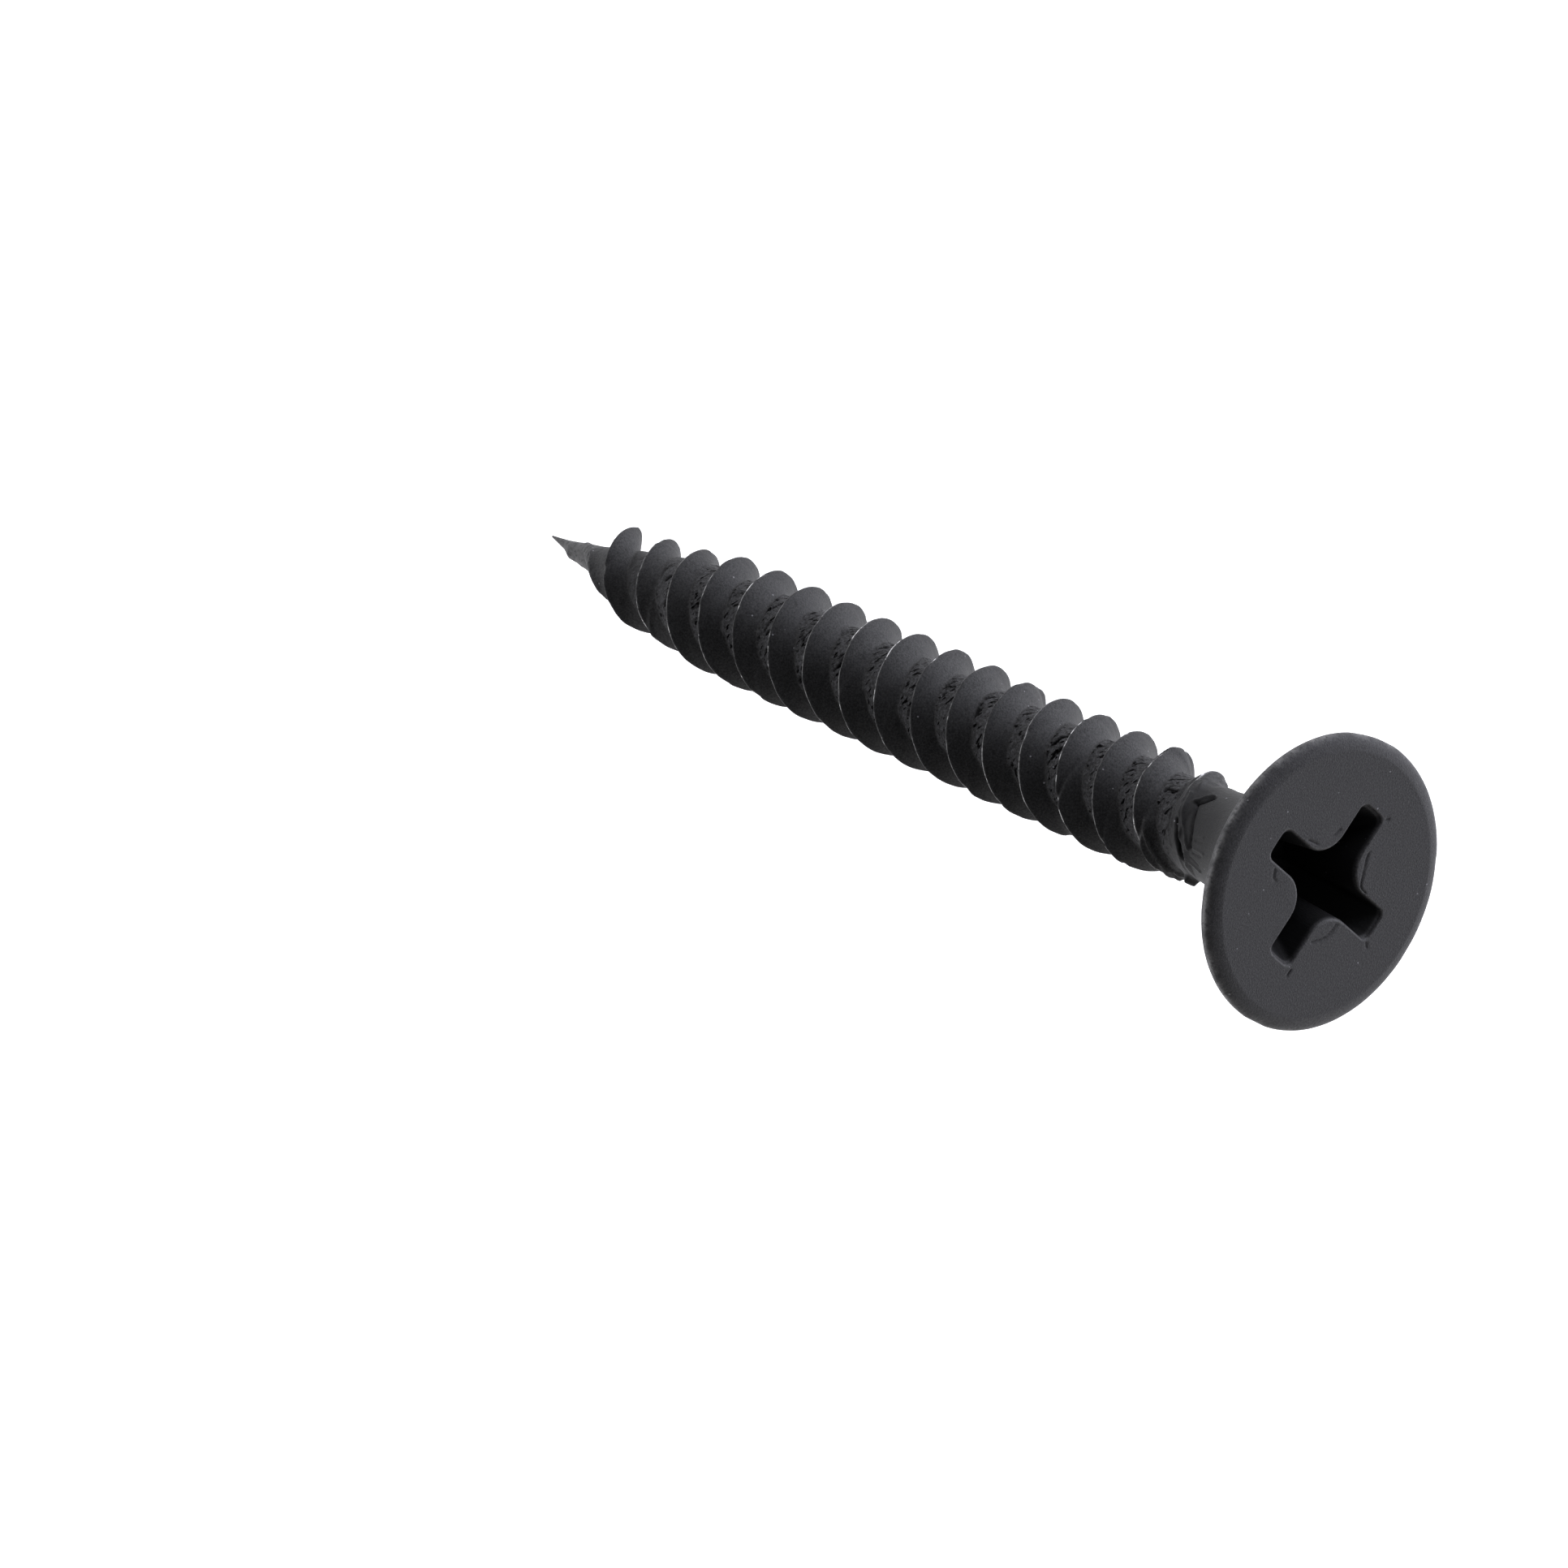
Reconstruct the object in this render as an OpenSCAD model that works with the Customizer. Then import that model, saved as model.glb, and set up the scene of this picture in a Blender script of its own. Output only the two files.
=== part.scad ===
// Bugle-head screw with a cross recess, a twin-start right-hand thread and a needle point.
// The frame's origin is the centre of the head's flat top, +Z points out of the head, and the
// screw runs down to -Z. Two wings of the recess lie along X and two along Y.
// One cold-formed piece of steel: each forming step's region is its own solid, and they meet
// face to face.

/* [Head] */
// Diameter of the head
head_d = 8.4; // [7.6:0.1:9.2]
// Radial width of the rounded shoulder outside the flat top
shoulder_w = 0.42; // [0.25:0.01:0.6]
// Drop from the flat top to the widest part of the rim
shoulder_h = 0.27; // [0.1:0.01:0.3]
// Depth of the rim's lower edge below the flat top
rim_h = 0.4; // [0.32:0.01:0.5]
// Radius of the concave arc of the trumpet-shaped underside
flare_r = 4.8; // [4.3:0.1:6]

/* [Recess] */
// Width across two opposite wings at the mouth
recess_span = 5; // [4.4:0.05:5.2]
// Width of one wing
wing_w = 1.08; // [0.9:0.01:1.15]
// Radius of the rounded corner between two wings
web_r = 0.85; // [0.4:0.05:0.9]
// Depth of the wings below the flat top
recess_depth = 2.7; // [2.2:0.1:3]
// Width across two opposite wings at the recess floor
recess_floor_span = 2.1; // [1.6:0.05:2.4]

/* [Shank] */
// Length from the flat top to the tip of the point
screw_length = 34.5; // [30:0.5:50]
// Diameter of the plain neck where the flare ends
neck_d = 2.66; // [2.5:0.02:2.8]
// Length over which the neck tapers to the core
neck_l = 1; // [0.6:0.1:2]
// Diameter of the core between the threads
core_d = 2.34; // [2.2:0.02:2.4]

/* [Thread] */
// Diameter over the thread crests
thread_d = 3.58; // [3.3:0.02:3.9]
// Advance of one start in one turn, which is two crest spacings
thread_lead = 3.2; // [2.8:0.1:3.6]
// Angle of the first start's crest, measured at the height of the flat top
thread_phase = -71.4; // [-180:0.1:180]
// Width of one thread at its base
thread_base_w = 1.14; // [0.9:0.02:1.3]
// Width of the blunt crest
crest_w = 0.06; // [0.02:0.01:0.12]
// Turns over which the thread rises out of the neck
run_out_turns = 0.6; // [0.2:0.1:1]

/* [Point] */
// Length from the start of the taper to the tip
point_l = 7; // [6:0.1:8]
// Length of the thread-free needle
needle_l = 2.2; // [1.8:0.1:2.8]
// Diameter of the needle where it leaves the taper
needle_d = 0.92; // [0.7:0.02:1.1]
// Diameter of the blunt tip
tip_d = 0.12; // [0.06:0.01:0.2]
// Diameter over the thread crests where the thread starts behind the needle
point_thread_d = 2.3; // [1.8:0.1:2.6]
// Turns over which the thread rises behind the needle
run_in_turns = 0.5; // [0.3:0.1:1]
// Distance from the tip at which the thread reaches its full diameter
thread_taper_l = 8; // [6:0.1:9]

/* [Hidden] */

head_r = head_d / 2;
neck_r = neck_d / 2;
core_r = core_d / 2;
face_r = head_r - shoulder_w;

// The lower edge of the rim stands in a little from its widest part.
rim_undercut = 0.02;
rim_low_r = head_r - rim_undercut;
shoulder_steps = 8;

// Depths below the flat top
flare_end = rim_h + sqrt(pow(flare_r, 2) - pow(flare_r - rim_low_r + neck_r, 2));
neck_end = flare_end + neck_l;
taper_start = screw_length - point_l;
needle_start = screw_length - needle_l;
full_thread_depth = screw_length - thread_taper_l;

// The needle is waisted: at this share of its length and of its diameter it turns slimmer.
waist_at = 0.45;
waist_share = 0.62;

// The floor of the recess is a blunt cone.
recess_tip_d = 0.2;
recess_tip_h = 0.45;

// Half of the thread's outline: distance from the crest's centre plane as a share of half
// the base width, and height as a share of the thread's height. The flanks are concave.
flank = [[1, 0], [0.5, 0.24], [0.2, 0.62]];

segments_per_turn = 30;

// Height and base width of the thread at its two ends, as shares of the full ones
end_height = 0.06;
end_base = 0.4;

smooth_fn = 96;
cut = 0.5;
steel = [0.16, 0.16, 0.18];
thread_steel = [0.22, 0.22, 0.24];

function ramp(x) = min(max(x, 0), 1);
function mix(a, b, x) = a + (b - a) * x;

// Radius of the body under the thread at a depth below the flat top
function body_r(depth) =
    depth < neck_end ? mix(neck_r, core_r, ramp((depth - flare_end) / neck_l))
    : mix(core_r, needle_d / 2, ramp((depth - taper_start) / (needle_start - taper_start)));

// Radius of the full-height crest at a depth below the flat top
function crest_r(depth) =
    mix(thread_d, point_thread_d, ramp((depth - full_thread_depth) / (needle_start - full_thread_depth))) / 2;

// Share of the full height at a depth, which falls away at both ends of the thread
function rise(depth) =
    let (
        out = ramp((depth - flare_end) / (run_out_turns * thread_lead)),
        in = ramp((needle_start - depth) / (run_in_turns * thread_lead))
    )
    min(out, in);

// The thread's closed outline, from its head-side base over the crest to its tip-side base
function outline() = concat(
    [for (p = flank) [-p[0] * thread_base_w / 2, p[1]]],
    [[-crest_w / 2, 1], [crest_w / 2, 1]],
    [for (i = [len(flank) - 1:-1:0]) [flank[i][0] * thread_base_w / 2, flank[i][1]]]
);

// One point of the thread's surface. The base radius is opened to the polygon that is
// circumscribed about the body, so that the thread stands on the body and doesn't cut it.
function thread_point(crest_depth, angle, p) =
    let (
        share = rise(crest_depth),
        depth = crest_depth + p[0] * mix(end_base, 1, share),
        base = body_r(depth) / cos(180 / segments_per_turn),
        r = mix(base, crest_r(crest_depth), p[1] * mix(end_height, 1, share))
    )
    [r * cos(angle), r * sin(angle), -depth];

// A start of the thread: the outline swept down the helix and closed at both ends
module thread_start_solid(turn_offset) {
    half_base = thread_base_w / 2;
    first = flare_end + half_base;
    last = needle_start - half_base;
    steps = floor((last - first) / thread_lead * segments_per_turn);
    shape = outline();
    n = len(shape);
    points = [
        for (i = [0:steps])
            let (
                depth = first + i * thread_lead / segments_per_turn,
                angle = thread_phase + turn_offset - 360 * depth / thread_lead
            )
            for (p = shape) thread_point(depth, angle, p)
    ];
    sides = [
        for (i = [0:steps - 1], j = [0:n - 1])
            [i * n + j, i * n + (j + 1) % n, (i + 1) * n + (j + 1) % n, (i + 1) * n + j]
    ];
    caps = [
        [for (j = [n - 1:-1:0]) j],
        [for (j = [0:n - 1]) steps * n + j]
    ];
    polyhedron(points = points, faces = concat(sides, caps), convexity = 20);
}

// Half section of the head without its recess, in radius and depth: a flat top, a shoulder
// that is a quarter of an ellipse, the rim, and an arc that flares down to the neck
module head_section() {
    shoulder = [
        for (i = [0:shoulder_steps])
            let (angle = 90 * (1 - i / shoulder_steps))
            [face_r + shoulder_w * cos(angle), shoulder_h * (sin(angle) - 1)]
    ];
    difference() {
        polygon(concat(
            [[0, 0]],
            shoulder,
            [[rim_low_r, -rim_h], [rim_low_r, -flare_end], [0, -flare_end]]
        ));
        translate([neck_r + flare_r, -flare_end])
            circle(r = flare_r, $fn = smooth_fn);
    }
}

// Cross outline of the recess with rounded corners between the wings
module cross_outline() {
    corner = wing_w / 2 + web_r;
    square([recess_span, wing_w], center = true);
    square([wing_w, recess_span], center = true);
    difference() {
        square(2 * corner, center = true);
        for (x = [-corner, corner], y = [-corner, corner])
            translate([x, y])
                circle(r = web_r, $fn = smooth_fn);
    }
}

// The recess: the cross, narrowing with depth inside a cone, with a pointed floor
module driver_recess() {
    slope = (recess_span - recess_floor_span) / 2 / recess_depth;
    intersection() {
        translate([0, 0, -recess_depth])
            linear_extrude(recess_depth + cut)
                cross_outline();
        translate([0, 0, -recess_depth])
            cylinder(
                r1 = recess_floor_span / 2, r2 = recess_span / 2 + cut * slope,
                h = recess_depth + cut, $fn = smooth_fn
            );
    }
    translate([0, 0, -recess_depth - recess_tip_h])
        cylinder(d1 = recess_tip_d, d2 = wing_w, h = recess_tip_h + cut, $fn = smooth_fn);
}

module head() {
    color(steel)
        difference() {
            rotate_extrude($fn = smooth_fn)
                head_section();
            driver_recess();
        }
}

module neck() {
    color(steel)
        translate([0, 0, -neck_end])
            cylinder(r1 = core_r, r2 = neck_r, h = neck_l, $fn = smooth_fn);
}

module core() {
    color(steel)
        translate([0, 0, -taper_start])
            cylinder(r = core_r, h = taper_start - neck_end, $fn = smooth_fn);
}

module thread_a() {
    color(thread_steel)
        thread_start_solid(0);
}

module thread_b() {
    color(thread_steel)
        thread_start_solid(180);
}

module point() {
    color(steel)
        rotate_extrude($fn = smooth_fn)
            polygon([
                [0, -taper_start], [core_r, -taper_start], [needle_d / 2, -needle_start],
                [waist_share * needle_d / 2, -needle_start - waist_at * needle_l],
                [tip_d / 2, -screw_length], [0, -screw_length]
            ]);
}

head();
neck();
core();
thread_a();
thread_b();
point();
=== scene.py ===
"""Looks of a black phosphate-coated bugle-head screw with a cross recess and a twin thread.

Three pieces replace the six CAD regions: the head, the threaded shank and the needle point.
They are cut from one surface, so they meet without a seam. Lengths are in millimetres until
a mesh is made, and depths are measured down from the head's flat top.
"""

import itertools
import math

import bpy
import numpy as np
from mathutils import Matrix, Vector


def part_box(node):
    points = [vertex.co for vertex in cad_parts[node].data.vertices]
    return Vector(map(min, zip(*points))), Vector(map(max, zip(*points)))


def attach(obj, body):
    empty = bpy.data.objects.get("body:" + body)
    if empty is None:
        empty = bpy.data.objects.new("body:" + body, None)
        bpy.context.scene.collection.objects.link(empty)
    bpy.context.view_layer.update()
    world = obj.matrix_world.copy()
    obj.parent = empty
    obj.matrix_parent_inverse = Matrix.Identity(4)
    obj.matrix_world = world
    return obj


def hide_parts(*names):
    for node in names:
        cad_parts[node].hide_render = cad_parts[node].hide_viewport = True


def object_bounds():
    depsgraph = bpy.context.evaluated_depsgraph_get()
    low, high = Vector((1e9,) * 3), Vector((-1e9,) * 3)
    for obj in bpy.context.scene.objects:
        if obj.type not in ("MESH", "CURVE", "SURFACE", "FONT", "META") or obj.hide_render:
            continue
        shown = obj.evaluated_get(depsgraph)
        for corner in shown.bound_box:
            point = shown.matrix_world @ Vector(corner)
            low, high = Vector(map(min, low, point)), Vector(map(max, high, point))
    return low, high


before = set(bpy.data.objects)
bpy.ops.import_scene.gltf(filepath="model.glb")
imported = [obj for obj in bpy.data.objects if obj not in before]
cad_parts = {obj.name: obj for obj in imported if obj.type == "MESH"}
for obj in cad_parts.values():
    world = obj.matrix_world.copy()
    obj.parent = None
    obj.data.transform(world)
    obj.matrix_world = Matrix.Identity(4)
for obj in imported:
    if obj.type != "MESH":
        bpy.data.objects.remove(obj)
cad_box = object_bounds()

MM = 0.001
TURN = 2 * math.pi


def radius_of(node):
    low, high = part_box(node)
    return (high.x - low.x) / 2 / MM


def depth_of(node):
    return -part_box(node)[0].z / MM


# ---- sizes that the frame gives -------------------------------------------------------------
HEAD_R = radius_of("head")
NECK_R = radius_of("neck")
CORE_R = radius_of("core")
THREAD_R = radius_of("thread_a")
FLARE_END = depth_of("head")
NECK_END = depth_of("neck")
TAPER_START = depth_of("core")
TIP = depth_of("point")

# ---- sizes that the CAD source names --------------------------------------------------------
SHOULDER_H = 0.27
RIM_H, RIM_UNDERCUT = 0.40, 0.02
RECESS_SPAN, WING_W, RECESS_DEPTH, RECESS_FLOOR_SPAN = 5.0, 1.08, 2.7, 2.1
LEAD, STARTS = 3.2, 2
SPACING = LEAD / STARTS
THREAD_PHASE = math.radians(-71.4)
NEEDLE_L = 2.2

# ---- sizes that the CAD doesn't have, or has a little different -----------------------------
SHOULDER_W = 0.44
SHOULDER_CREASE = 0.5  # angle, in radians, with which the shoulder's curve starts
WEB_R = 0.86  # rounded corner between two wings of the recess
RECESS_CORNER = 0.24  # rounded corners at a wing's end
WING_BULGE = 0.01  # how far the middle of a wing's end stands out
# Share that the wings, the webs and the corners lose from the top of the recess to its floor
WING_TAPER, WEB_TAPER, CORNER_TAPER = 0.22, 0.5, 0.6
LIP_W, LIP_H = 0.07, 0.10  # rolled edge of the recess
RECESS_TIP = 0.35  # how far the middle of the recess's floor is deeper than its edge
RECESS_TURN = math.radians(-1.2)
HEAD_OVAL, OVAL_SIDE = 0.04, math.radians(33)  # how far and which way the rim is oval
FLANK_W = 0.50  # from a crest's middle to the foot of its flank
CREST_LAND = 0.016  # half the width of the blunt crest
TIP_ROUND = 0.012  # how far the middle of the tip stands out
WORN_W = 0.023  # half the width of the worn line on a crest, which is also a painted highlight
# Height of each kind of relief
NICK, TREMBLE = 0.16, 0.014  # on the crests
ROOT_STRIP, LUMP, TEAR = 0.035, 0.025, 0.05  # in the roots
FOLD, CRUMPLE = 0.09, 0.025  # on the thread's first turn
UNEVEN_SHANK, UNEVEN_HEAD = 0.004, 0.003
DENT, WOBBLE = 0.05, 0.012  # on the rim
FACE_LIFT, FACE_CRACK = 0.012, 0.04  # round the recess
# Length, width and slant of the tears in the roots
TEAR_L, TEAR_W, TEAR_SLANT = 0.36, 0.09, 0.62
# Depths between which a feature begins
THREAD_BEGINS, ROOT_BEGINS = (4.0, 4.5), (4.9, 5.6)
# Distances from the tip between which a feature ends
THREAD_ENDS, ROOT_ENDS, WEAR_ENDS = (0.9, 1.6), (3.2, 7.4), (3.5, 8.0)
CRACK_W = 0.028  # half the width of a tear in the flat top
CRACK_DARK, RECESS_DARK = 0.6, 0.56  # painted shade in the flat top's cracks and in the recess, in the paint masks
# Tears in the flat top, as corners of lines in X and Y
FACE_CRACKS = [
    [(-1.42, 0.72), (-0.95, 0.93), (-0.72, 1.04), (-0.56, 1.16), (-0.50, 1.42)],
    [(0.66, 1.14), (1.00, 1.09), (1.25, 0.94), (1.47, 0.66)],
    [(-1.42, -0.70), (-1.18, -0.80)],
    [(-0.70, -1.13), (-0.63, -1.52)],
    [(0.55, -2.02), (0.78, -1.86), (0.85, -1.72)],
    [(0.54, 2.46), (0.64, 2.58)],
    [(-2.44, 0.60), (-2.50, 0.70)],
    [(2.46, 0.58), (2.66, 0.55)],
]

# ---- mesh density ---------------------------------------------------------------------------
AROUND = 360
ROWS_PER_CREST = 40
RECESS_RINGS, LIP_RINGS, FACE_RINGS = 36, 8, 34
SHOULDER_RINGS, RIM_RINGS, FLARE_RINGS, NEEDLE_RINGS = 16, 5, 110, 60
CLOSER = 1.2  # above 1, rows or rings stand closer together where a shape turns quickly
ROW_SNAP = 0.004  # rows this close to the end of a piece are its end
HEAD_CUT = 3.9  # depth where the head piece ends and the shank piece begins
NEEDLE_CUT = TIP - NEEDLE_L + 0.1  # depth where the needle piece begins


# ---- noise ----------------------------------------------------------------------------------
class Seed:
    """A seed for each noise. Layered noise takes the ones that follow as well."""

    NICKS, TREMBLE, SWAY, FOOT = 11, 12, 13, 14
    LUMPS, TEARS, PATCHES = 21, 25, 31
    FOLDS, BROKEN_FOLDS, CRUMPLES, UNEVEN_SHANK = 55, 56, 58, 61
    CREST_WEAR, BEADS, BEAD_RUNS = 71, 72, 73
    DENTS, WOBBLE, UNEVEN_HEAD, RIM_WEAR = 81, 82, 83, 84
    RAGGED_X, RAGGED_Y, FACE_LIFT = 85, 86, 87


def smooth_noise(points, cell, seed):
    """Smooth noise from -1 to 1 at points, an (n, 3) array, with one value a cell."""
    q = points / cell
    base = np.floor(q).astype(np.int64)
    f = q - base
    f = f * f * f * (f * (f * 6 - 15) + 10)
    total = np.zeros(len(q))
    for corner in itertools.product((0, 1), repeat=3):
        x, y, z = (base + corner).T
        n = (x * 73856093) ^ (y * 19349663) ^ (z * 83492791) ^ (seed * 40503 + 977)
        n = ((n ^ (n >> 13)) * 1274126177) & 0x7FFFFFFF
        n = ((n ^ (n >> 15)) * 668265263) & 0x7FFFFFFF
        weight = np.prod(np.where(corner, f, 1 - f), axis=1)
        total += weight * ((n >> 8 & 0xFFFF) / 32767.5 - 1)
    return total


def layered_noise(points, cell, seed, layers=3):
    """Noise with finer and fainter layers on top."""
    total, share = np.zeros(len(points)), 1.0
    for k in range(layers):
        total += share * smooth_noise(points, cell / 2**k, seed + k)
        share *= 0.5
    return total


def step(x, low, high):
    """0 below low, 1 above high, smooth between."""
    t = np.clip((x - low) / (high - low), 0, 1)
    return t * t * (3 - 2 * t)


def bell(x, centre, width):
    return np.exp(-(((x - centre) / width) ** 2))


def near_line(points, line):
    """Distance from each 2-D point to a line through the given corners."""
    nearest = np.full(len(points), np.inf)
    for start, end in zip(line[:-1], line[1:]):
        start, way = np.array(start), np.subtract(end, start)
        along = np.clip((points - start) @ way / (way @ way), 0, 1)
        nearest = np.minimum(nearest, np.hypot(*(points - start - along[:, None] * way).T))
    return nearest


# ---- the shank's surface --------------------------------------------------------------------
FLARE_R = (
    (FLARE_END - RIM_H) ** 2 + (HEAD_R - RIM_UNDERCUT - NECK_R) ** 2
) / (2 * (HEAD_R - RIM_UNDERCUT - NECK_R))


def flare_radius(depth):
    """Radius of the trumpet-shaped underside, which ends tangent to the neck."""
    up = np.clip(FLARE_END - depth, 0, None)
    return NECK_R + FLARE_R - np.sqrt(FLARE_R**2 - up**2)


# The point, from the tip up: distance and radius of the bare body
NEEDLE = np.array([
    [0.00, 0.03], [0.25, 0.07], [0.75, 0.153], [1.10, 0.27], [1.45, 0.30],
    [1.75, 0.35], [2.30, 0.44], [3.00, 0.60], [4.00, 0.78], [5.50, 1.00],
])
# Distance from the tip and how far the middle stands off the axis: the point is bent a little
BEND = np.array([
    [0.00, 0.00], [0.75, 0.057], [1.10, 0.115], [1.70, 0.075], [2.20, 0.09],
    [3.20, 0.09], [4.80, 0.064], [6.40, 0.033], [8.00, 0.01], [9.50, 0.00],
])
BEND_SIDE = math.radians(10)
# Depth and share of the full height where the thread rises out of the neck
RUN_OUT = np.array([[4.10, 0.00], [4.40, 0.22], [5.10, 0.36], [6.10, 0.72], [7.00, 1.00]])
NECK_BARE, NECK_DARK = 0.2, 0.5  # the neck in the paint masks; the second is painted shade under the head
APART = 40  # offset in the noise that keeps the two starts from looking alike
# Distance from the tip and radius over the crests, the same for both starts further up
POINT_CREST = [[4.83, 1.40], [6.43, 1.51], [8.03, 1.74], [9.30, THREAD_R]]
# The two starts die out differently: one swells again on the needle, the other ends sooner.
LONG_START = np.array([[1.20, 0.26], [1.63, 0.35], [2.43, 0.78], [3.23, 1.33]] + POINT_CREST)
SHORT_START = np.array([[1.60, 0.30], [2.43, 0.58], [3.23, 0.94]] + POINT_CREST)


# Folds and gouges on the neck: height, width, and the line's corners as angle and depth
SCARS = [
    (-0.09, 0.045, [(-104, 4.62), (-110, 4.46), (-120, 4.30)]),
    (0.07, 0.045, [(-106, 4.74), (-117, 4.58), (-124, 4.40)]),
    (-0.07, 0.035, [(-103, 4.58), (-85, 4.38), (-70, 4.22), (-53, 4.15)]),
    (0.05, 0.04, [(-112, 5.02), (-85, 4.78), (-68, 4.50), (-50, 4.26)]),
    (-0.12, 0.06, [(-78, 4.92), (-64, 4.77), (-49, 4.61), (-34, 4.48)]),
    (-0.09, 0.04, [(-105, 6.12), (-110, 6.10), (-113, 5.76)]),
    (-0.12, 0.07, [(-34, 6.56), (-18, 6.52), (-4, 6.44)]),
    (0.22, 0.09, [(5, 4.88), (16, 4.80)]),
    (0.03, 0.03, [(-69, 4.05), (-71, 3.62)]),
    (-0.03, 0.03, [(-63, 3.98), (-65, 3.60)]),
    (0.03, 0.03, [(-54, 4.00), (-55, 3.45)]),
    (-0.03, 0.03, [(-48, 4.02), (-50, 3.55)]),
    (0.04, 0.04, [(-33, 4.20), (-30, 3.70)]),
    (-0.03, 0.03, [(-41, 4.12), (-37, 3.75)]),
]
TORN_OPEN = 0.08  # a scar this deep or deeper is painted black at the bottom, as shade


def scarred(angle, depth):
    """Height of the scars and how far they are torn open, which sets their painted shade, at
    angles and depths.
    """
    turned = (np.degrees(angle) + 180) % 360 - 180
    arc = math.radians(1) * NECK_R
    here = np.c_[turned * arc, depth]
    height, torn = np.zeros(len(depth)), np.zeros(len(depth))
    for rise, width, line in SCARS:
        mark = bell(near_line(here, [(a * arc, d) for a, d in line]), 0, width)
        height += rise * mark
        torn = np.maximum(torn, mark * min(1, max(0, -rise / TORN_OPEN)))
    return height, torn


def body_radius(depth):
    """Radius under the thread: flare, neck, core, taper and needle in one."""
    neck = np.where(depth < FLARE_END, flare_radius(depth), NECK_R)
    r = neck + (CORE_R - NECK_R) * step(depth, FLARE_END, NECK_END)
    up = TIP - depth
    needle = np.interp(up, NEEDLE[:, 0], NEEDLE[:, 1])
    top = NEEDLE[-1, 0]
    taper = NEEDLE[-1, 1] + (CORE_R - NEEDLE[-1, 1]) * (up - top) / (TIP - TAPER_START - top)
    r = np.where(depth > TAPER_START, taper, r)
    return np.where(up < top, needle, r)


def crest_radius(depth, start):
    """Radius over the crests, which falls towards the neck and towards the point."""
    run_out = np.interp(depth, RUN_OUT[:, 0], RUN_OUT[:, 1])
    long, short = (np.interp(TIP - depth, t[:, 0], t[:, 1]) for t in (LONG_START, SHORT_START))
    full = np.where(start == 1, long, short)
    return NECK_R + (full - NECK_R) * run_out


def phase_at(angle, depth):
    """Crest spacings from the flat top along the axis: whole numbers are on a crest."""
    return depth / SPACING + (angle - THREAD_PHASE) * STARTS / TURN


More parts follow.
